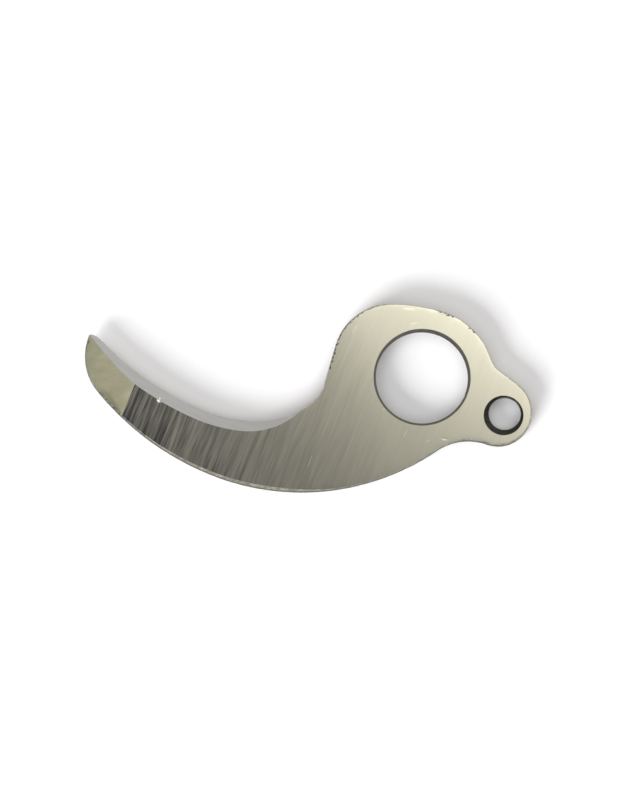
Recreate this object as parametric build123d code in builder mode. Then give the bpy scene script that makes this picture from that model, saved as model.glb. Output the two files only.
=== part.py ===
"""Hooked counter blade of a pair of powered pruning shears, ground from one steel plate.

Millimetres. The origin is on the pivot bore's axis, halfway through the plate.
+X runs from the hook towards the locating lobe, +Y to the side the hook opens to,
and +Z out of the bevelled face. The flat back face, at the lowest Z, is the one the
moving blade slides on.
"""
from build123d import *
import os
from math import radians, tan

# Plate
plate_thickness = 4.0
edge_break = 0.45                 # chamfer round the outline on the bevelled face

# Pivot bore, for the bush that the moving blade turns on
bore_diameter = 20.0
bore_chamfer = 0.5

# Locating hole, clearance for an M6 screw
locating_hole_diameter = 7.0
locating_hole_at = (17.95, -7.7)
countersink_diameter = 8.6
countersink_at = (17.6, -8.25)    # struck a little off the hole's centre
countersink_angle = 60.0          # between the cone's opposite sides

# Bevel ground along the inside of the hook, falling at 45 degrees into the gap
bevel_width = 2.5
bevel_angle = 45.0
run_out_from = 0.7                # share of the jaw's middle arc before the wheel lifts off
run_out_radius = 13.5
run_out_turn = 92.0
wheel_top = 25.0                  # Y of the far side of the ground-away region
wheel_lead = 15.0                 # how far the wheel starts ahead of the point
wheel_clearance = 1.0             # how far the wheel stands above the face

# Relief facet ground on the end of the hook
facet_line_at = (-63.3, -4.65)    # a point on the line where the facet starts
facet_line_angle = 67.7           # of that line, from +X
facet_fall = 6.0                  # slope towards the point, in degrees

# Outline: where each arc ends, clockwise from the hook's point. Every arc runs on
# from the one before without a kink, except at the point itself.
point = (-71.8, 9.4)
point_heading = -10.0             # direction in which the outline leaves the point
point_round = 0.7                 # the point's own radius
point_shoulder = (-69.2, 8.0)
jaw_front = (-48.1, -6.8)
jaw_middle = (-34.6, -9.4)
jaw_back = (-24.1, -5.9)
throat = (-21.1, -1.6)
ring_flank = (-18.7, 6.9)
ring_crown = (-6.2, 15.9)
ring_top = (4.4, 14.2)
ring_right = (14.8, 4.2)
notch = (17.4, 0.9)
lobe_top = (21.3, -2.0)
lobe_bottom = (14.1, -14.3)
waist = (3.3, -15.7)
belly = (-44.5, -21.4)
nose = (-70.2, -2.8)
ring_and_back = (
    jaw_back, throat, ring_flank, ring_crown, ring_top, ring_right, notch,
    lobe_top, lobe_bottom, waist, belly, nose, point,
)

face_height = plate_thickness / 2
bevel_foot = face_height - bevel_width
cone_slope = radians(countersink_angle / 2)
countersink_foot = countersink_diameter / 2 - plate_thickness * tan(cone_slope)

with BuildPart() as hook_blade:
    # Blank, cut to the outline
    with BuildSketch(Plane.XY.offset(-face_height)):
        with BuildLine():
            leaving_point = Vector(1, 0).rotate(Axis.Z, point_heading)
            point_arc = TangentArc(point, point_shoulder, tangent=leaving_point)
            jaw_arc = TangentArc(point_shoulder, jaw_front, tangent=point_arc % 1)
            deep_jaw_arc = TangentArc(jaw_front, jaw_middle, tangent=jaw_arc % 1)
            arc = deep_jaw_arc
            for arc_end in ring_and_back:
                arc = TangentArc(arc @ 1, arc_end, tangent=arc % 1)
        make_face()
        fillet(vertices().sort_by_distance(point)[0], radius=point_round)
    extrude(amount=plate_thickness)

    # Relief facet: all the steel above a plane that falls towards the point goes
    facet_line = Vector(1, 0).rotate(Axis.Z, facet_line_angle)
    facet_normal = Vector(0, 0, 1).rotate(Axis((0, 0, 0), facet_line), -facet_fall)
    facet_plane = Plane((*facet_line_at, face_height), facet_line, facet_normal)
    split(bisect_by=facet_plane, keep=Keep.BOTTOM)

    # Edge break on every curved edge of the face and the facet, but not between them
    upper_edges = hook_blade.edges().filter_by(lambda edge: edge.center().Z > 0)
    chamfer(upper_edges.filter_by(GeomType.LINE, reverse=True), length=edge_break)

    # Jaw bevel
    with BuildSketch(Plane.XY.offset(bevel_foot)):
        with BuildLine():
            lead_in = Line(jaw_arc @ 0 - (jaw_arc % 0) * wheel_lead, jaw_arc @ 0)
            front = TangentArc(point_shoulder, jaw_front, tangent=jaw_arc % 0)
            middle = TangentArc(jaw_front, deep_jaw_arc @ run_out_from, tangent=front % 1)
            run_out = JernArc(middle @ 1, middle % 1, run_out_radius, run_out_turn)
            Polyline(
                run_out @ 1,
                ((run_out @ 1).X, wheel_top),
                ((lead_in @ 0).X, wheel_top),
                lead_in @ 0,
            )
        make_face()
    extrude(amount=bevel_width + wheel_clearance, taper=-bevel_angle, mode=Mode.SUBTRACT)

    # Pivot bore, chamfered at both mouths
    Hole(radius=bore_diameter / 2)
    bore_mouths = hook_blade.edges().filter_by(GeomType.CIRCLE).filter_by(
        lambda edge: abs(edge.radius - bore_diameter / 2) < 0.01
    )
    chamfer(bore_mouths, length=bore_chamfer)

    # Locating hole, and its countersink on the bevelled face
    with Locations((*locating_hole_at, face_height)):
        Hole(radius=locating_hole_diameter / 2)
    with Locations((*countersink_at, face_height)):
        Cone(
            bottom_radius=countersink_foot,
            top_radius=countersink_diameter / 2,
            height=plate_thickness,
            align=(Align.CENTER, Align.CENTER, Align.MAX),
            mode=Mode.SUBTRACT,
        )

hook_blade.part.label = "hook_blade"

os.makedirs("parts", exist_ok=True)
export_step(hook_blade.part, "parts/hook_blade.step")
print(f"volume {hook_blade.part.volume:.1f} mm3, box {hook_blade.part.bounding_box()}")
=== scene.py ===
"""Looks of the hooked counter blade: its ground plate as a fine mesh, with grinding marks, a
dressed edge and bare tool steel, laid on pale paper under soft studio light.

Plan sizes are in millimetres, measured from the pivot bore's axis, as on a workshop drawing.
"""
import math

import bpy
import numpy as np
from mathutils import Matrix, Vector
from mathutils.geometry import delaunay_2d_cdt
from mathutils.kdtree import KDTree


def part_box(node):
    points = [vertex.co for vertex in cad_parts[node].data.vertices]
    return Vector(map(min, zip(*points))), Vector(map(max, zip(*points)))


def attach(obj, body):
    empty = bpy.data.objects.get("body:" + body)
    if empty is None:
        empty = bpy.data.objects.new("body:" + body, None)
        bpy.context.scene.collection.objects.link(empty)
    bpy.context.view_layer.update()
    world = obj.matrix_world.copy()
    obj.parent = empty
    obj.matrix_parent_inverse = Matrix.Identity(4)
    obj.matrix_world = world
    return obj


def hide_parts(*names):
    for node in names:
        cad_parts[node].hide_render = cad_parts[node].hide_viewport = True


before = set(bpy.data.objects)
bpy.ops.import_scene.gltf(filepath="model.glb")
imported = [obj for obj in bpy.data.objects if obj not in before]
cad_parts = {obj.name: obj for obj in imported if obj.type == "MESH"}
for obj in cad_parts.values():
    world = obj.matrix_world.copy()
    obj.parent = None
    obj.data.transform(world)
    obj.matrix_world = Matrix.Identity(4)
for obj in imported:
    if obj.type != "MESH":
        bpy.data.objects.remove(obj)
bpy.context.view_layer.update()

MM = 0.001
rng = np.random.default_rng(7)
low, high = (np.array(corner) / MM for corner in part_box("hook_blade"))
BACK_Z, FACE_Z = low[2], high[2]

# ---------------------------------------------------------------- camera
VIEW_DISTANCE = 4000.0             # from the plate to the lens
VIEW_HEIGHT = 172.8                # what the tall side of the picture takes in at the plate
VIEW_CENTRE = (-24.45, -5.0)
LEAN = (-1.5, -4.8)                # degrees that the camera leans to the left and to the near side
SENSOR = 36.0
NEAREST_SEEN, FARTHEST_SEEN = 0.01, 20.0     # metres from the lens

bpy.context.scene.view_settings.view_transform = "Standard"
camera_data = bpy.data.cameras.new("camera")
camera = bpy.data.objects.new("camera", camera_data)
bpy.context.scene.collection.objects.link(camera)
bpy.context.scene.camera = camera
camera_data.sensor_width = SENSOR
camera_data.lens = SENSOR * VIEW_DISTANCE / VIEW_HEIGHT
camera_data.clip_start = NEAREST_SEEN
camera_data.clip_end = FARTHEST_SEEN
leftwards, nearwards = (math.tan(math.radians(angle)) for angle in LEAN)
towards = Vector((leftwards, nearwards, 1)).normalized()
camera.location = (Vector((*VIEW_CENTRE, FACE_Z)) + towards * VIEW_DISTANCE) * MM
rightwards = Vector((0, 1, 0)).cross(towards).normalized()
upwards = towards.cross(rightwards)
camera.rotation_euler = Matrix((rightwards, upwards, towards)).transposed().to_euler()

# ---------------------------------------------------------------- sizes of the plate
# Outline: where each arc ends, clockwise from the hook's point, each arc tangent to the last
POINT = np.array((-71.8, 9.4))
POINT_HEADING = -10.0
POINT_ROUND = 0.7
POINT_STEP = 0.08                  # between points round the point
POINT_CLEARANCE = 1.15             # of the rounding's cut: how near the corner the sides may start
POINT_SHOULDER = np.array((-69.2, 8.0))
JAW_FRONT = np.array((-48.1, -6.8))
JAW_MIDDLE = np.array((-34.6, -9.4))
BELLY = np.array((-44.5, -21.4))
ARC_ENDS = (
    POINT_SHOULDER, JAW_FRONT, JAW_MIDDLE, (-24.1, -5.9), (-21.1, -1.6), (-18.7, 6.9),
    (-6.2, 15.9), (4.4, 14.2), (14.8, 4.2), (17.4, 0.9), (21.3, -2.0), (14.1, -14.3),
    (3.3, -15.7), BELLY, (-70.2, -2.8), POINT,
)
BORE_RADIUS = 10.0
BORE_CHAMFER = 0.5
HOLE_AT = np.array((17.95, -7.7))
HOLE_RADIUS = 3.5
SINK_AT = np.array((17.6, -8.25))
SINK_RADIUS = 4.3
SINK_SLOPE = math.tan(math.radians(30.0))   # the cone is 60 degrees across
BEVEL_WIDTH = 2.5
RUN_OUT_FROM = 0.7                 # share of the jaw's middle arc before the wheel lifts off
RUN_OUT_RADIUS = 13.5
RUN_OUT_TURN = 92.0
WHEEL_LEAD = 15.0                  # how far ahead of the point's shoulder the wheel starts
WHEEL_STEP = 0.1                   # between points where the wheel lifts off
FACET_LINE_AT = np.array((-63.3, -4.65))
GRIND_ANGLE = 67.7                 # the facet's line and the face's grinding marks run this way
FACET_FALL = math.tan(math.radians(6.0))
STONED_WIDTH = 1.5                 # second, narrow facet along the outside of the first
STONED_REACH = 8.8                 # how far past the line it runs
STONED_FALL = math.tan(math.radians(5.0))
BACK_BREAK = 0.12
SHEARING_REACH = 0.6               # the back stays sharp this near to the jaw
SHEARING_BOX = (-26.0, -12.0)      # the jaw lies left of the first and above the second

# Spacing of the mesh
STEP = 0.3                         # between points along an edge
HOLE_STEP = 0.2
SINK_STEP = 0.22
GRID = 0.34                        # between points across the face
BACK_GRID = 1.6
GRID_SHIFT = 0.12                  # how far a grid point strays, as a share of the spacing
GRID_CLEARANCE = 0.6               # how far it stays from an edge, as a share of the spacing
ROW_CLEARANCE = 0.05               # how far a row of points stays inside the outline
BESIDE_CREASE = 0.12               # rows this far on either side keep a crease crisp
PAST_EDGE_BREAK = 0.15
SINK_ROWS = 7
DEEPEST_SINK_ROW = 0.85            # of the way from the countersink's rim to the hole's
FACET_LINE_REACH = 12              # to each side of FACET_LINE_AT
SCRATCH_STEP = 0.2
TOUCHING = 1e-4
MERGING = 1e-6

# Places on the outline, how wide the hand-dressed edge break is there, and how pitted the edge is
EDGE = (
    ((-71.8, 9.4), 0.0, 0.3), ((-69.2, 8.0), 0.0, 0.0), ((-24.1, -5.9), 0.1, 0.0),
    ((-21.3, -2.5), 0.12, 0.1), ((-20.0, 2.0), 0.25, 0.8), ((-15.0, 11.0), 0.3, 0.85),
    ((-8.0, 15.6), 0.25, 0.6), ((-5.0, 15.9), 0.12, 0.15), ((2.6, 14.9), 0.12, 0.2),
    ((3.6, 14.5), 0.2, 0.9), ((6.4, 13.2), 0.2, 0.9), ((8.0, 12.2), 0.12, 0.2),
    ((10.9, 10.0), 0.2, 0.9), ((12.2, 8.4), 0.12, 0.1), ((17.4, 0.9), 0.15, 0.5),
    ((19.4, -0.5), 0.2, 0.7), ((21.3, -2.0), 0.3, 0.2), ((23.7, -7.0), 0.35, 0.1),
    ((14.1, -14.3), 0.3, 0.1), ((3.3, -15.7), 0.12, 0.05), ((-20.0, -23.9), 0.15, 0.2),
    ((-25.0, -24.6), 0.35, 0.4), ((-32.0, -24.5), 0.6, 0.3), ((-48.0, -20.0), 0.45, 0.2),
    ((-58.0, -14.0), 0.25, 0.6), ((-65.0, -7.5), 0.16, 0.8), ((-70.2, -2.8), 0.16, 0.9),
)
RUBBED_DEPTH = 0.02                # the stone also rubs the face down a little beside an edge break
RUBBED_REACH = 0.25
RUBBED_FROM = 0.1                  # width of edge break at which that is complete


# ---------------------------------------------------------------- lines in the plan
def direction(degrees):
    """The unit vector that points this way in the plan."""
    return np.array((math.cos(math.radians(degrees)), math.sin(math.radians(degrees))))


def arc(start, heading, end, step=STEP):
    """The points after start on the arc that leaves at heading (degrees) for end, and its last heading."""
    chord = np.subtract(end, start)
    half_turn = (math.degrees(math.atan2(chord[1], chord[0])) - heading + 180) % 360 - 180
    diameter = np.linalg.norm(chord) / math.sin(math.radians(half_turn))
    count = max(2, round(diameter * math.radians(half_turn) / step))
    turn = 2 * half_turn / count
    stride = diameter * math.sin(math.radians(turn / 2))
    headings = heading + turn * (np.arange(count) + 0.5)
    strides = stride * np.stack([np.cos(np.radians(headings)), np.sin(np.radians(headings))], 1)
    return start + np.cumsum(strides, axis=0), heading + 2 * half_turn


def circle(centre, radius, step=STEP):
    """The points round a circle."""
    turns = np.linspace(0, 2 * math.pi, round(2 * math.pi * radius / step), endpoint=False)
    return np.array(centre) + radius * np.stack([np.cos(turns), np.sin(turns)], 1)


def outline_points():
    """The closed outline, clockwise, starting where the point's rounding starts."""
    at, heading, stretches = POINT, POINT_HEADING, []
    for end in ARC_ENDS:
        stretch, heading = arc(at, heading, end)
        stretches.append(stretch)
        at = end
    turn = (heading - POINT_HEADING + 180) % 360 - 180
    cut = POINT_ROUND * math.tan(math.radians(turn / 2))
    start = POINT - cut * direction(heading)
    tip, _ = arc(start, heading, POINT + cut * direction(POINT_HEADING), POINT_STEP)
    sides = np.concatenate(stretches)
    past_rounding = np.linalg.norm(sides - POINT, axis=1) > POINT_CLEARANCE * cut
    return np.concatenate([[start], tip, sides[past_rounding]])


def wheel_points():
    """The line that the foot of the jaw's bevel follows, until the wheel lifts off."""
    _, heading = arc(POINT, POINT_HEADING, POINT_SHOULDER)
    front, turned = arc(POINT_SHOULDER, heading, JAW_FRONT)
    middle, last = arc(JAW_FRONT, turned, JAW_MIDDLE, WHEEL_STEP)
    middle = middle[:round(RUN_OUT_FROM * len(middle))]
    turned += RUN_OUT_FROM * (last - turned)
    centre = middle[-1] + RUN_OUT_RADIUS * direction(turned + 90)
    run_out, _ = arc(middle[-1], turned, centre + RUN_OUT_RADIUS * direction(turned - 90 + RUN_OUT_TURN))
    lead_in = POINT_SHOULDER - np.arange(WHEEL_LEAD, 0, -STEP)[:, None] * direction(heading)
    return np.concatenate([lead_in, [POINT_SHOULDER], front, middle, run_out])


def closed(loop):
    """A loop with its first point repeated at its end."""
    return np.concatenate([loop, loop[:1]])


def search_tree(points):
    """A search tree over plan points."""
    tree = KDTree(len(points))
    for place, point in enumerate(points):
        tree.insert((*point, 0), place)
    tree.balance()
    return tree


def nearest(points, line):
    """Each point's distance from a line, positive on its right, and how far along the line that is."""
    tree = search_tree(line)
    close = np.array([tree.find((*point, 0))[1] for point in points])
    steps = np.diff(line, axis=0)
    lengths = np.linalg.norm(steps, axis=1)
    travelled = np.concatenate([[0], np.cumsum(lengths)])
    found = []
    for segment in (np.maximum(close - 1, 0), np.minimum(close, len(steps) - 1)):
        offset, step, length = points - line[segment], steps[segment], lengths[segment]
        share = np.clip((offset * step).sum(1) / length**2, 0, 1)
        rest = offset - share[:, None] * step
        side = np.where(step[:, 1] * rest[:, 0] - step[:, 0] * rest[:, 1] >= 0, 1, -1)
        found.append((side * np.linalg.norm(rest, axis=1), travelled[segment] + share * length))
    (gap, along), (later_gap, later_along) = found
    first = np.abs(gap) <= np.abs(later_gap)
    return np.where(first, gap, later_gap), np.where(first, along, later_along)


def inwards(loop):
    """For each point of a clockwise loop, the unit direction to its right."""
    ahead = np.roll(loop, -1, axis=0) - np.roll(loop, 1, axis=0)
    right = np.stack([ahead[:, 1], -ahead[:, 0]], 1)
    return right / np.linalg.norm(right, axis=1)[:, None]


outline = outline_points()
wheel = wheel_points()
bore = circle((0, 0), BORE_RADIUS)
hole = circle(HOLE_AT, HOLE_RADIUS, HOLE_STEP)
perimeter = np.linalg.norm(np.diff(closed(outline), axis=0), axis=1).sum()
belly_along = nearest(BELLY[None], closed(outline))[1][0]

edge_places = nearest(np.array([place for place, _, _ in EDGE]), closed(outline))[1]
order = edge_places.argsort()
edge_places = edge_places[order]
edge_widths = np.array([width for _, width, _ in EDGE])[order]
edge_pitting = np.array([pitting for _, _, pitting in EDGE])[order]


def edge_break(along):
    """The width of the dressed edge at each distance along the outline."""
    return np.interp(along, edge_places, edge_widths, period=perimeter)


def pitted(along):
    """How pitted the edge is at each distance along the outline."""
    return np.interp(along, edge_places, edge_pitting, period=perimeter)


# ---------------------------------------------------------------- marks of making and use
# Dents in the dressed edge: place, radius, depth. A chip on the bevel's crease comes first, and the
# rest fall at random where the edge is pitted.
NICK_TRIES = 90
NICK_CHANCE, NICK_SPARED = 1.2, 0.1          # the chance is the first times the pitting, less the second
NICK_RADII = (0.2, 0.5)
NICK_DEPTHS = (0.04, 0.16)
NICKS = [((-56.75, -5.0), 0.45, 0.25)]
for along in rng.uniform(0, perimeter, NICK_TRIES):
    index = int(along / perimeter * len(outline)) % len(outline)
    worn = pitted(np.array([along]))[0]
    if rng.random() < NICK_CHANCE * worn - NICK_SPARED:
        NICKS.append((tuple(outline[index]), rng.uniform(*NICK_RADII), rng.uniform(*NICK_DEPTHS)))

# Scratches across the face: from, to, width, depth. Each is also painted bright, partly as fresh steel and
# partly as a painted highlight; the last two, on the belly's edge, are mostly painted highlights.
SCRATCHES = (
    ((-3.2, -11.5), (-3.9, -12.7), 0.14, 0.02), ((1.9, -13.4), (0.9, -14.0), 0.12, 0.015),
    ((4.4, -13.3), (5.3, -13.5), 0.1, 0.012), ((-14.9, 9.9), (-14.3, 11.0), 0.16, 0.01),
    ((-24.6, -19.0), (-23.8, -17.0), 0.1, 0.01), ((-69.6, 3.5), (-67.6, 2.6), 0.12, 0.02),
    ((-8.6, -6.9), (-7.8, -6.8), 0.16, 0.01), ((-2.2, 11.6), (-1.2, 11.9), 0.14, 0.01),
    ((-3.8, 14.9), (-1.8, 14.75), 0.3, 0.01), ((-22.9, -24.45), (-22.1, -24.5), 0.2, 0.02),
    ((-11.5, -22.7), (-10.8, -22.5), 0.2, 0.02),
)
# Grinding ripples: length, phase, lean
WAVE_COUNT = 9
WAVE_LENGTHS = (0.9, 3.4)
WAVE_LEANS = (-0.05, 0.05)
WAVES = [
    (rng.uniform(*WAVE_LENGTHS), rng.uniform(0, 2 * math.pi), rng.uniform(*WAVE_LEANS))
    for _ in range(WAVE_COUNT)
]
WAVE_HEIGHT = 0.0022               # of each; they add up to marks some 0.01 mm deep
HIGHEST_RIPPLE = 0.01
COARSE_END = -10.0                 # X where the coarse wheel's marks fade out, on the bore's level
COARSE_LEAN = 0.2
COARSE_LENGTH = 55.0
COARSE_CURVE = 0.8

across_grind = direction(GRIND_ANGLE + 90)
along_grind = direction(GRIND_ANGLE)


def ground_share(points):
    """How strongly the coarse wheel marked the face: all of the hook, fading out before the ring."""
    from_end = COARSE_END - points[:, 0] - COARSE_LEAN * points[:, 1]
    return np.clip(from_end / COARSE_LENGTH, 0, 1) ** COARSE_CURVE


# ---------------------------------------------------------------- heights of the two surfaces
def face_drops(points):
    """How far each kind of machining takes the upper surface down at each point, and the marks on it."""
    edge, along = nearest(points, closed(outline))
    past = (points - FACET_LINE_AT) @ across_grind
    facet = np.maximum(past, 0) * FACET_FALL
    share = np.clip(past / STONED_REACH, 0, 1)
    strip = 4 * STONED_WIDTH * share * (1 - share)
    outside = (along > belly_along) * (strip > 0)
    facet += outside * np.maximum(strip - edge, 0) * STONED_FALL
    width = edge_break(along)
    rubbed = RUBBED_DEPTH * np.clip(width / RUBBED_FROM, 0, 1) * np.exp(-np.maximum(edge, 0) / RUBBED_REACH)
    dressed = facet + (np.maximum(width - edge, 0) + rubbed)
    bevel = BEVEL_WIDTH - nearest(points, wheel)[0]
    chamfer = BORE_CHAMFER - (np.linalg.norm(points, axis=1) - BORE_RADIUS)
    sink = (SINK_RADIUS - np.linalg.norm(points - SINK_AT, axis=1)) / SINK_SLOPE
    waves = sum(
        np.sin(2 * math.pi * (points @ across_grind + lean * points @ along_grind) / length + phase)
        for length, phase, lean in WAVES
    )
    marks = WAVE_HEIGHT * waves * ground_share(points) * (past < 0)
    for place, radius, depth in NICKS:
        marks = marks + depth * np.clip(1 - np.linalg.norm(points - place, axis=1) / radius, 0, 1)
    for start, end, width, depth in SCRATCHES:
        gap = np.abs(nearest(points, np.array((start, end)))[0])
        marks = marks + depth * np.clip(1 - gap / width, 0, 1)
    return dict(facet=facet, dressed=dressed, bevel=bevel, chamfer=chamfer, sink=sink), marks


def face_height(points):
    """The upper surface is what the deepest cut at each point leaves."""
    drops, marks = face_drops(points)
    return FACE_Z - np.max(list(drops.values()), axis=0) - np.maximum(marks, -HIGHEST_RIPPLE)


def back_height(points):
    """The back is flat, with its edges broken everywhere but along the jaw, which shears the wood."""
    edge, _ = nearest(points, closed(outline))
    near_jaw = nearest(points, wheel)[0] < SHEARING_REACH
    jaw = near_jaw & (points[:, 0] < SHEARING_BOX[0]) & (points[:, 1] > SHEARING_BOX[1])
    from_bore = np.linalg.norm(points, axis=1) - BORE_RADIUS
    drop = np.where(jaw, 0, np.maximum(BACK_BREAK - edge, 0))
    drop = np.maximum(drop, np.maximum(BORE_CHAMFER - from_bore, 0))
    from_hole = np.linalg.norm(points - HOLE_AT, axis=1) - HOLE_RADIUS
    return BACK_Z + np.maximum(drop, np.maximum(BACK_BREAK - from_hole, 0))


def inside(points):
    """Which points lie in the plate: right of the outline, and outside both bores."""
    edge, _ = nearest(points, closed(outline))
    clear_of_bore = np.linalg.norm(points, axis=1) > BORE_RADIUS - TOUCHING
    clear_of_hole = np.linalg.norm(points - HOLE_AT, axis=1) > HOLE_RADIUS - TOUCHING
    return (edge > -TOUCHING) & clear_of_bore & clear_of_hole


# ---------------------------------------------------------------- meshing the plan
def kept_runs(row, joined):
    """The stretches of a row of points that lie in the plate, each with whether it closes on itself."""
    keep = inside(row) & (nearest(row, closed(outline))[0] > ROW_CLEARANCE)
    if joined and keep.all():
        return [(row, True)]
    ends = np.flatnonzero(np.diff(np.concatenate([[0], keep.astype(int), [0]])))
    return [(row[first:last], False) for first, last in zip(ends[::2], ends[1::2]) if last - first > 1]


def grid_points(spacing):
    """Points that fill the plate in staggered rows, each a little off its place."""
    wide = np.arange(low[0], high[0], spacing)
    tall = np.arange(low[1], high[1], spacing * math.sqrt(0.75))
    grid = np.stack(np.meshgrid(wide, tall), 2)
    grid[1::2, :, 0] += spacing / 2
    grid = grid.reshape(-1, 2) + rng.uniform(-GRID_SHIFT, GRID_SHIFT, (grid.size // 2, 2)) * spacing
    return grid[inside(grid)]


def surface(rows, spacing):
    """Triangles over the plan, with edges along the outline, both bores and each of rows, which are
    lists of points. Gives the plan points, the triangles and the places of the three loops' points."""
    lines = [(loop, True) for loop in (outline, bore, hole)]
    for row, joined in rows:
        lines += kept_runs(row, joined)
    fixed = np.concatenate([line for line, _ in lines])
    edges, first = [], 0
    for line, joined in lines:
        places = np.arange(first, first + len(line))
        pairs = np.stack([places, np.roll(places, -1)], 1)
        edges.append(pairs if joined else pairs[:-1])
        first += len(line)
    grid = grid_points(spacing)
    tree = search_tree(fixed)
    close = min(spacing, 2 * STEP) * GRID_CLEARANCE
    clear = np.array([tree.find((*point, 0))[2] > close for point in grid])
    points = np.concatenate([fixed, grid[clear]])
    found, _, triangles, origins, _, _ = delaunay_2d_cdt(
        [Vector(point) for point in points], np.concatenate(edges).tolist(), [], 0, MERGING)
    found = np.array(found)
    triangles = np.array([triangle for triangle in triangles if len(triangle) == 3])
    triangles = triangles[inside(found[triangles].mean(1))]
    new_place = {source: place for place, sources in enumerate(origins) for source in sources}
    loops, first = [], 0
    for loop in (outline, bore, hole):
        loops.append(np.array([new_place[place] for place in range(first, first + len(loop))]))
        first += len(loop)
    return found, triangles, loops


def edge_rows():
    """Rows along the dressed edge: its middle, its inner side and just past that."""
    width = edge_break(nearest(outline, closed(outline))[1])[:, None]
    offsets = (0.5 * width, width, width + PAST_EDGE_BREAK)
    return [(outline + inwards(outline) * offset, True) for offset in offsets]


def bore_rows():
    """Rings on and round the bore's chamfer and down the countersink."""
    rows = [(circle((0, 0), BORE_RADIUS + BORE_CHAMFER * share), True) for share in (0.5, 1.0, 1.25)]
    for share in np.linspace(0, DEEPEST_SINK_ROW, SINK_ROWS):
        centre = SINK_AT + (HOLE_AT - SINK_AT) * share
        rows.append((circle(centre, SINK_RADIUS + (HOLE_RADIUS - SINK_RADIUS) * share, SINK_STEP), True))
    rows.append((circle(SINK_AT, SINK_RADIUS + BESIDE_CREASE, SINK_STEP), True))
    return rows


def bevel_rows():
    """Rows along the crease between the bevel and the face or facet."""
    right, foot = inwards(wheel)[1:-1], wheel[1:-1]
    past = (foot - FACET_LINE_AT) @ across_grind
    leaning = right @ across_grind
    crease = (BEVEL_WIDTH - FACET_FALL * past) / (1 + FACET_FALL * leaning)
    crease = np.where(past + crease * leaning > 0, crease, BEVEL_WIDTH)
    offsets = (-BESIDE_CREASE, 0.0, BESIDE_CREASE)
    return [(foot + right * (crease + offset)[:, None], False) for offset in offsets]


def facet_rows():
    """Rows along the line where the facet starts."""
    reach = np.arange(-FACET_LINE_REACH, FACET_LINE_REACH, STEP)[:, None] * along_grind
    offsets = (-BESIDE_CREASE, 0.0, BESIDE_CREASE)
    return [(FACET_LINE_AT + offset * across_grind + reach, False) for offset in offsets]


def scratch_rows():
    """Rows along the middle and both sides of each scratch."""
    rows = []
    for start, end, width, _ in SCRATCHES:
        run = np.array(end) - start
        aside = np.array((-run[1], run[0])) / np.linalg.norm(run) * width
        steps = np.linspace(0, 1, max(3, round(np.linalg.norm(run) / SCRATCH_STEP)))[:, None]
        rows += [(start + run * steps + aside * side, False) for side in (-1, 0, 1)]
    return rows


face_rows = edge_rows() + bore_rows() + bevel_rows() + facet_rows() + scratch_rows()
back_rows = [
    (outline + inwards(outline) * BACK_BREAK * 1.01, True),
    (circle((0, 0), BORE_RADIUS + BORE_CHAMFER), True),
    (circle(HOLE_AT, HOLE_RADIUS + BACK_BREAK, HOLE_STEP), True),
]
face_plan, face_triangles, face_loops = surface(face_rows, GRID)
back_plan, back_triangles, back_loops = surface(back_rows, BACK_GRID)
face_points = np.column_stack([face_plan, face_height(face_plan)])
back_points = np.column_stack([back_plan, back_height(back_plan)])

# ---------------------------------------------------------------- walls and the whole mesh
FACE, FACET, BEVEL, DRESSED, WALL, BORED, BACK, CHAMFER = range(8)    # finishes, in slot order
WALL_ROWS = 6
FACE_LEAD = 1e-3                   # a cut has to go this much deeper than the face to count
LEAST_DRESSED = 0.012              # a dressed edge shallower than this still looks like face

centres = face_plan[face_triangles].mean(1)
drops, _ = face_drops(centres)
past_line = (centres - FACET_LINE_AT) @ across_grind > 0
depths = [
    drops["facet"] + FACE_LEAD, drops["dressed"] - LEAST_DRESSED, drops["bevel"],
    drops["chamfer"], drops["sink"],
]
finishes = [
    np.choose(np.argmax(depths, axis=0), [np.where(past_line, FACET, FACE), DRESSED, BEVEL, CHAMFER, BORED]),
    np.full(len(back_triangles), BACK),
]
vertices = [face_points, back_points]
triangles = [face_triangles, back_triangles[:, ::-1] + len(face_points)]
count = len(face_points) + len(back_points)
for which, (upper, lower) in enumerate(zip(face_loops, back_loops)):
    top, bottom = face_points[upper], back_points[lower]
    shares = np.linspace(0, 1, WALL_ROWS + 1)[1:-1]
    vertices += [top + (bottom - top) * share for share in shares]
    size = len(upper)
    rows = [upper] + [count + np.arange(size) + row * size for row in range(len(shares))]
    rows.append(lower + len(face_points))
    count += len(shares) * size
    for above, below in zip(rows, rows[1:]):
        quads = np.stack([above, np.roll(above, -1), np.roll(below, -1), below], 1)
        if which:
            quads = quads[:, ::-1]
        triangles.append(np.concatenate([quads[:, [0, 1, 2]], quads[:, [0, 2, 3]]]))
        finishes.append(np.full(2 * size, BORED if which else WALL))
vertices = np.concatenate(vertices)
triangles = np.concatenate(triangles)

mesh = bpy.data.meshes.new("ground_blade")
mesh.from_pydata((vertices * MM).tolist(), [], triangles.tolist())
mesh.update()
blade = bpy.data.objects.new("ground_blade", mesh)
bpy.context.scene.collection.objects.link(blade)
mesh.polygons.foreach_set("material_index", np.concatenate(finishes).astype(np.int32))
mesh.polygons.foreach_set("use_smooth", np.ones(len(triangles), bool))

# Edges are sharp where the surface turns by more than the ripples and the arcs' steps do
SHARP_TURN = 7.0
mesh.set_sharp_from_angle(angle=math.radians(SHARP_TURN))
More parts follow.
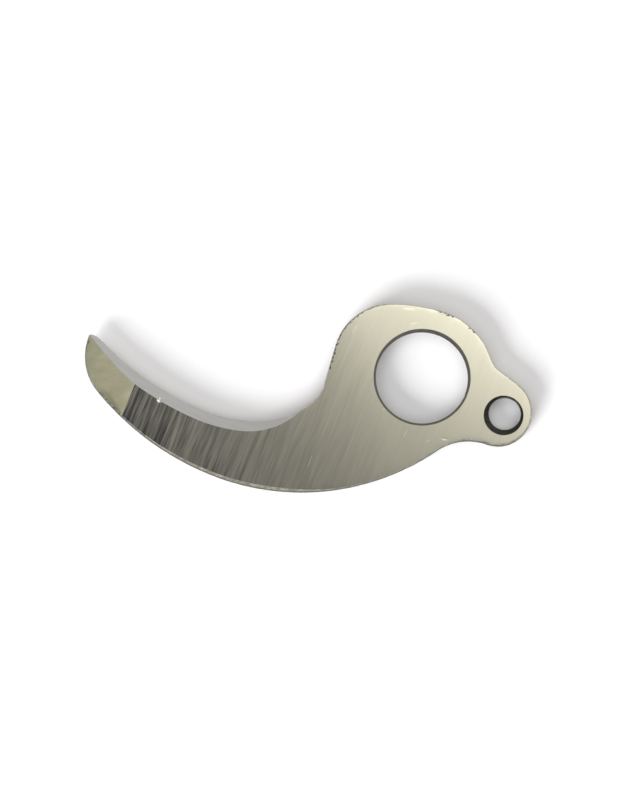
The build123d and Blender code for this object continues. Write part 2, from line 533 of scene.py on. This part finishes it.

# Strengths that the finishes read: of the grinding marks, which also set how dark the face is painted
# (partly painted shade), of the pits and of the bright scratches, which are partly painted highlights. Pits
# crowd the edge and thin out over the face and down the wall.
PIT_REACH = 0.9                    # across the face
PIT_DEPTH = 2.4                    # down the wall
PITS_AT_EDGE = 1.3                 # before they are clipped to one, so that the edge itself is full of them
PITS_AT_FACE = 1.2
FEWEST_PITS = 0.35
# The chip and scratches are painted bright: partly fresh steel, partly painted highlight
CHIP_SHINE, SCRATCH_SHINE = 1.6, 0.55
edge, along = nearest(vertices[:, :2], closed(outline))
below_face = np.clip(PITS_AT_FACE - (FACE_Z - vertices[:, 2]) / PIT_DEPTH, FEWEST_PITS, 1)
from_edge = np.clip(PITS_AT_EDGE - np.maximum(edge, 0) / PIT_REACH, 0, 1)
chip_at, chip_radius, _ = NICKS[0]
bright = [np.clip(CHIP_SHINE - np.linalg.norm(vertices[:, :2] - chip_at, axis=1) / chip_radius, 0, 1)]
for start, end, width, _ in SCRATCHES:
    gap = np.abs(nearest(vertices[:, :2], np.array((start, end)))[0])
    bright.append(SCRATCH_SHINE * np.clip(1 - gap / width, 0, 1))
strengths = {
    "grind_and_painted_shade": ground_share(vertices[:, :2]),
    "pits": pitted(along) * from_edge * below_face,
    "scratch": np.max(bright, axis=0),
}
for name, values in strengths.items():
    mesh.attributes.new(name, "FLOAT", "POINT").data.foreach_set("value", values.astype(np.float32))
mesh.validate()
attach(blade, "root")
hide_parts("hook_blade")


# ---------------------------------------------------------------- finishes
def linear(colour):
    """sRGB hex such as '#a0a098' as linear RGBA."""
    parts = [int(colour[start:start + 2], 16) / 255 for start in (1, 3, 5)]
    return tuple(c / 12.92 if c <= 0.04045 else ((c + 0.055) / 1.055) ** 2.4 for c in parts) + (1.0,)


def add(tree, kind, settings=None, values=None, links=None):
    """A node with its settings, its sockets' values and the outputs linked to it."""
    node = tree.nodes.new(kind)
    for name, value in (settings or {}).items():
        setattr(node, name, value)
    for socket, value in (values or {}).items():
        node.inputs[socket].default_value = value
    for socket, source in (links or {}).items():
        tree.links.new(source, node.inputs[socket])
    return node


NOISE_RANGE = (0.3, 0.7)           # where nearly all of the noise lies
KEPT_RANGE = (0.12, 1.0)           # share of the lines' contrast kept, from the ring to the hook's end
SHADE_RANGE = (0.84, 0.09)         # how light the steel is drawn, from the ring to the hook's end: partly the coarse grinding's own darker tone, partly painted shade
FRESH_STEEL_AND_HIGHLIGHT = "#f6f2e2"            # bright metal in a scratch, partly a painted highlight
PIT_SIZE = 0.45
PIT_WEIGHT = 0.45                  # how far the edge's own pitting lifts the noise
PIT_RANGE = (0.83, 0.95)


def line_noise(tree, place, lines):
    """Streaks from -share to share, summed over lines: (length, width, angle, share) in millimetres and
    degrees. Gives the sum and the last line's own streaks."""
    total = finest = None
    for length, width, angle, share in lines:
        turned = add(
            tree, "ShaderNodeMapping", {"vector_type": "TEXTURE"},
            {"Rotation": (0, 0, math.radians(angle)), "Scale": (length * MM, width * MM, length * MM)},
            {"Vector": place})
        noise = add(
            tree, "ShaderNodeTexNoise", None, {"Scale": 1.0, "Detail": 2.0, "Roughness": 0.55},
            {"Vector": turned.outputs[0]})
        spread = add(
            tree, "ShaderNodeMapRange", None,
            {"From Min": NOISE_RANGE[0], "From Max": NOISE_RANGE[1], "To Min": -share, "To Max": share},
            {"Value": noise.outputs[0]})
        finest = spread.outputs[0]
        if total is None:
            total = finest
        else:
            total = add(tree, "ShaderNodeMath", {"operation": "ADD"}, None, {0: total, 1: finest}).outputs[0]
    return total, finest


def streaks_and_painted_shade(tree, streaks):
    """The face's tone: dark and streaked at the hook's end, light and even on the ring. The fade is partly
    the coarse grinding's own tone and partly painted shade.
    """
    strength = add(tree, "ShaderNodeAttribute", {"attribute_name": "grind_and_painted_shade"}).outputs["Fac"]
    kept = add(
        tree, "ShaderNodeMapRange", None, {"To Min": KEPT_RANGE[0], "To Max": KEPT_RANGE[1]},
        {"Value": strength})
    streaks = add(tree, "ShaderNodeMath", {"operation": "MULTIPLY"}, None, {0: streaks, 1: kept.outputs[0]})
    shade = add(
        tree, "ShaderNodeMapRange", None, {"To Min": SHADE_RANGE[0], "To Max": SHADE_RANGE[1]},
        {"Value": strength})
    return add(
        tree, "ShaderNodeMath", {"operation": "ADD"}, None, {0: streaks.outputs[0], 1: shade.outputs[0]}
    ).outputs[0]


def scratched_and_highlighted(tree, colour):
    """The colour with fresh steel showing in the scratches and the chip, partly as painted highlights."""
    strength = add(tree, "ShaderNodeAttribute", {"attribute_name": "scratch"}).outputs["Fac"]
    return add(
        tree, "ShaderNodeMix", {"data_type": "RGBA"}, {7: linear(FRESH_STEEL_AND_HIGHLIGHT)}, {0: strength, 6: colour}
    ).outputs[2]


def pitted_colour(tree, place, colour, pits):
    """The colour with specks of grime in the pits, which real ones hold: 0.1 to 0.5 mm across."""
    noise = add(
        tree, "ShaderNodeTexNoise", None, {"Scale": 1 / (PIT_SIZE * MM), "Detail": 3.0, "Roughness": 0.6},
        {"Vector": place})
    amount = add(tree, "ShaderNodeAttribute", {"attribute_name": "pits"}).outputs["Fac"]
    total = add(
        tree, "ShaderNodeMath", {"operation": "MULTIPLY_ADD"}, {1: PIT_WEIGHT},
        {0: amount, 2: noise.outputs[0]})
    specks = add(
        tree, "ShaderNodeMapRange", None, {"From Min": PIT_RANGE[0], "From Max": PIT_RANGE[1]},
        {"Value": total.outputs[0]})
    return add(
        tree, "ShaderNodeMix", {"data_type": "RGBA"}, {7: linear(pits)}, {0: specks.outputs[0], 6: colour}
    ).outputs[2]


def steel(name, dark, light, roughness, lines, bump=0.0, fades=False, pits=None):
    """Bare steel that varies between two colours, and between two roughnesses, with streaks of lines."""
    material = bpy.data.materials.new(name)
    material.use_nodes = True
    tree = material.node_tree
    shader = tree.nodes["Principled BSDF"]
    shader.inputs["Metallic"].default_value = 1.0
    place = add(tree, "ShaderNodeTexCoord").outputs["Object"]
    streaks, finest = line_noise(tree, place, lines)
    # The face fades from dark to light: partly its own grinding, partly painted shade
    if fades:
        mixed = streaks_and_painted_shade(tree, streaks)
    else:
        mixed = add(tree, "ShaderNodeMath", {"operation": "ADD"}, {1: 0.5}, {0: streaks}).outputs[0]
    colour = add(
        tree, "ShaderNodeMix", {"data_type": "RGBA"}, {6: linear(dark), 7: linear(light)}, {0: mixed}
    ).outputs[2]
    if fades:
        colour = scratched_and_highlighted(tree, colour)
    if pits:
        colour = pitted_colour(tree, place, colour, pits)
    tree.links.new(colour, shader.inputs["Base Color"])
    smoothest, roughest = roughness
    rough = add(
        tree, "ShaderNodeMapRange", None, {"To Min": roughest, "To Max": smoothest}, {"Value": mixed})
    tree.links.new(rough.outputs[0], shader.inputs["Roughness"])
    if bump:
        relief = add(
            tree, "ShaderNodeBump", None, {"Strength": 1.0, "Distance": bump * MM}, {"Height": finest})
        tree.links.new(relief.outputs[0], shader.inputs["Normal"])
    return material


GRIT_LINE = 0.24    # a 46-grit wheel cuts lines about 0.1 mm apart: too fine to show, so drawn coarser
EDGE_GRIME, FACE_GRIME = "#2c2b24", "#34342a"

# Tool steel under a coarse surface grinder: parallel streaks, dark on the hook and a pale satin round the
# ring. The fade from dark to pale is partly the grinding's own tone and partly painted shade, standing in
# for the lamps' reflection.
ground_face = steel(
    "surface_ground_tool_steel", "#4a4848", "#dad8ca", (0.32, 0.42),
    ((26.0, 2.2, 67.7, 0.11), (14.0, 0.7, 69.5, 0.13), (6.0, GRIT_LINE, 66.0, 0.13)),
    0.004, fades=True, pits=FACE_GRIME)
# Tool steel rubbed on a slip stone by hand: an even, slightly olive grey with faint, short strokes.
stoned_facet = steel(
    "stoned_tool_steel_facet", "#a9a68d", "#b8b59c", (0.3, 0.4),
    ((6.0, 2.5, 20.0, 0.4), (2.0, 0.3, 10.0, 0.2)), 0.001)
# Tool steel under a fine wheel: a cool, even grey band that takes the light as one strip.
fine_bevel = steel(
    "fine_ground_tool_steel_bevel", "#c6c6c5", "#d6d6d5", (0.3, 0.4), ((9.0, 1.2, -20.0, 0.3),))
# Tool steel dressed with a file: a bright, uneven line along the edge, with grime in its pits.
dressed_edge = steel(
    "dressed_tool_steel_edge", "#b5b4a6", "#e6e4d6", (0.3, 0.5),
    ((1.2, 0.6, 30.0, 0.5), (0.5, 0.3, 70.0, 0.3)), 0.002, pits=EDGE_GRIME)
# Tool steel as it was cut from plate: duller and rougher than the ground faces, with pits near the edge.
cut_wall = steel(
    "cut_tool_steel_wall", "#8f8d82", "#b9b7ab", (0.4, 0.6),
    ((3.0, 0.8, 90.0, 0.4), (0.6, 0.3, 0.0, 0.3)), 0.004, pits=EDGE_GRIME)
# Tool steel bored and left as it came from the tool, on the walls of both holes and in the countersink: its
# colour is drawn nearly black, much darker than bare steel, as painted shade of the holes.
bored_wall_painted_shade = steel("bored_tool_steel_painted_shade", "#403f37", "#4e4d43", (0.35, 0.5), ((8.0, 0.4, 0.0, 0.4),), 0.002)
# Tool steel under a fine surface grinder: long, faint streaks on a clean face that another blade rubs.
ground_back = steel(
    "surface_ground_tool_steel_back", "#a9a798", "#c9c6b4", (0.28, 0.4),
    ((60.0, 1.6, 67.7, 0.3), (25.0, 0.3, 67.7, 0.3)), 0.003)
# Tool steel chamfered at the bore's mouth: a thin grey ring between the face and the bore, also drawn darker
# than bare steel as painted shade.
chamfered_mouth_painted_shade = steel(
    "chamfered_tool_steel_painted_shade", "#807f78", "#92918a", (0.3, 0.4), ((3.0, 0.6, 40.0, 0.4),))
for finish in (
    ground_face, stoned_facet, fine_bevel, dressed_edge, cut_wall, bored_wall_painted_shade, ground_back, chamfered_mouth_painted_shade,
):
    mesh.materials.append(finish)

# ---------------------------------------------------------------- floor
# The paper falls away from the lobe, where the plate touches it, so that the shadow of the hook's end
# stands off and softens
FLOOR_HALF = 6.0                   # metres, as are the next two
FLOOR_CONTACT = 0.024
FLOOR_GAP = 1e-5
FLOOR_SLOPE = math.tan(math.radians(1.4))
floor_mesh = bpy.data.meshes.new("floor")
corners = [(x * FLOOR_HALF, y * FLOOR_HALF) for x, y in ((-1, -1), (1, -1), (1, 1), (-1, 1))]
floor_mesh.from_pydata(
    [(x, y, BACK_Z * MM - FLOOR_GAP + (x - FLOOR_CONTACT) * FLOOR_SLOPE) for x, y in corners],
    [], [(0, 1, 2, 3)])
floor = bpy.data.objects.new("floor", floor_mesh)
bpy.context.scene.collection.objects.link(floor)

# Matt uncoated paper: no gloss at all, a shade off white
paper = bpy.data.materials.new("matt_white_paper")
paper.use_nodes = True
paper_shader = paper.node_tree.nodes["Principled BSDF"]
paper_shader.inputs["Base Color"].default_value = linear("#ecebec")
paper_shader.inputs["Roughness"].default_value = 1.0
paper_shader.inputs["Specular IOR Level"].default_value = 0.0
floor_mesh.materials.append(paper)
floor.visible_glossy = False

# ---------------------------------------------------------------- world
# Brightness of the studio from straight down (0) to straight up (1), and the lamps' slight warmth
STUDIO = (
    (0.0, 0.35), (0.25, 0.38), (0.4, 0.55), (0.5, 0.72), (0.6, 0.62), (0.75, 0.3), (0.88, 0.16), (1.0, 0.13),
)
WARMTH = (1.0, 0.99, 0.97)
world = bpy.data.worlds.new("studio")
bpy.context.scene.world = world
world.use_nodes = True
tree = world.node_tree
sky = add(tree, "ShaderNodeTexCoord").outputs["Generated"]
height = add(tree, "ShaderNodeSeparateXYZ", None, None, {0: sky}).outputs["Z"]
share_up = add(tree, "ShaderNodeMapRange", None, {"From Min": -1.0}, {"Value": height}).outputs[0]
ramp = add(tree, "ShaderNodeValToRGB", None, None, {0: share_up})
stops = ramp.color_ramp.elements
while len(stops) > 1:
    stops.remove(stops[0])
for position, level in STUDIO:
    stop = stops[0] if position == 0 else stops.new(position)
    stop.position = position
    stop.color = (*(level * part for part in WARMTH), 1)
lit = tree.nodes["Background"]
tree.links.new(ramp.outputs[0], lit.inputs["Color"])
pale = add(tree, "ShaderNodeBackground", None, {"Color": (1, 1, 1, 1), "Strength": 1.0})
seen = add(tree, "ShaderNodeLightPath").outputs["Is Camera Ray"]
both = add(tree, "ShaderNodeMixShader", None, None, {0: seen, 1: lit.outputs[0], 2: pale.outputs[0]})
tree.links.new(both.outputs[0], tree.nodes["World Output"].inputs["Surface"])


# ---------------------------------------------------------------- lights
def softbox(name, place, aim, size, radiance, on_metal, colour="#ffffff"):
    """A square area light that lights either the floor or the metal. Places and sizes are in metres."""
    data = bpy.data.lights.new(name, "AREA")
    data.shape = "SQUARE"
    data.size = size
    data.energy = radiance * math.pi * size * size
    data.color = linear(colour)[:3]
    light = bpy.data.objects.new(name, data)
    bpy.context.scene.collection.objects.link(light)
    light.location = place
    light.rotation_euler = (Vector(place) - Vector(aim)).to_track_quat("Z", "Y").to_euler()
    light.visible_camera = False
    light.visible_glossy = on_metal
    light.visible_diffuse = not on_metal
    return light


# A low key on the near left throws the shadows to the far right, and the fill from above lifts them
softbox("floor_key", (-0.76, -0.84, 0.41), (-0.02, 0, 0), 0.86, 14.0, False)
softbox("floor_fill", (0, 0, 1.6), (0, 0, 0), 2.2, 1.42, False)

# Two panels over the ring's far side brighten it: the second starts farther out. Each is given by the
# distance of its near edge from the bore's axis, its height, its size and its radiance.
PANEL_SIDE = Vector((0.54, 0.842, 0))
PANEL_COLOUR = "#fffcf0"
PANELS = (("ring_softbox", 0.020, 0.15, 0.3, 1.5), ("crown_softbox", 0.034, 0.14, 0.2, 1.15))
for name, near_edge, height, size, radiance in PANELS:
    beside = PANEL_SIDE * (near_edge + size / 2)
    panel = softbox(name, beside + Vector((0, 0, height)), beside, size, radiance, True, PANEL_COLOUR)
    panel.rotation_euler = (0, 0, math.atan2(PANEL_SIDE.y, PANEL_SIDE.x))

# A small box hangs where the facet mirrors it
FACET_BOX = (-0.0862, 0.0047)
softbox("facet_softbox", (*FACET_BOX, 0.15), (*FACET_BOX, 0.0), 0.05, 2.0, True)
